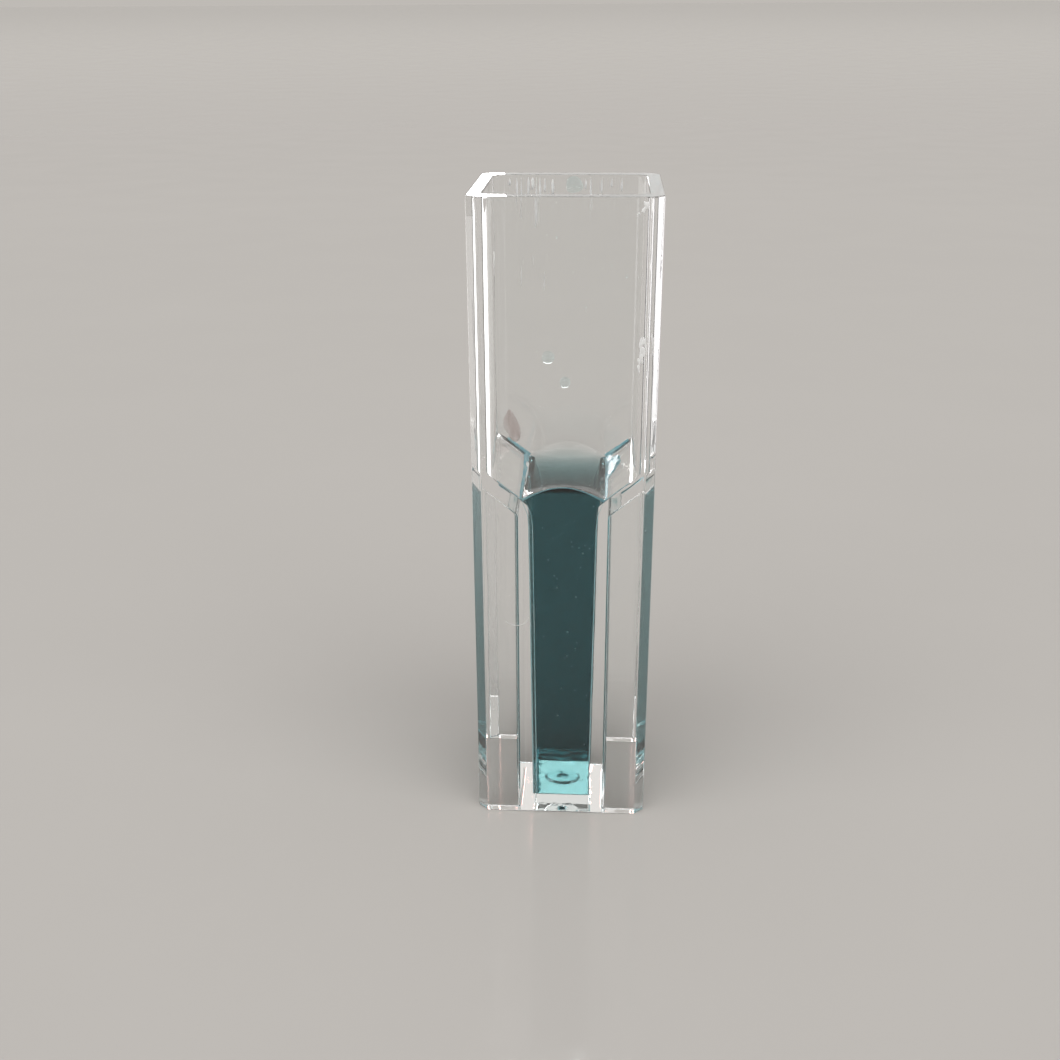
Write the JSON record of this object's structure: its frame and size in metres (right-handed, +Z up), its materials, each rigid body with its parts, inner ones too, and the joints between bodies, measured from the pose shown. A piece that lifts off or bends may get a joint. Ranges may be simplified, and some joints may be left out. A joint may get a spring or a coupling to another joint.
{
  "type": "cuvette",
  "caption": "Clear semi-micro cuvette with a wide square mouth, sloping shoulders and a narrow chamber holding a coloured sample.",
  "frame": {"origin": "centre of the foot, on the surface that the cuvette stands on", "axes": "+Z up towards the mouth, Y along the light path through the two windows, X across the side walls"},
  "size_m": [0.0126, 0.0126, 0.045],
  "materials": {
    "clear_plastic": "clear moulded polystyrene, polished windows",
    "coloured_sample": "clear blue-green water-like liquid"
  },
  "bodies": {
    "root": {"cuvette": "clear_plastic", "sample": "coloured_sample"}
  },
  "joints": []
}
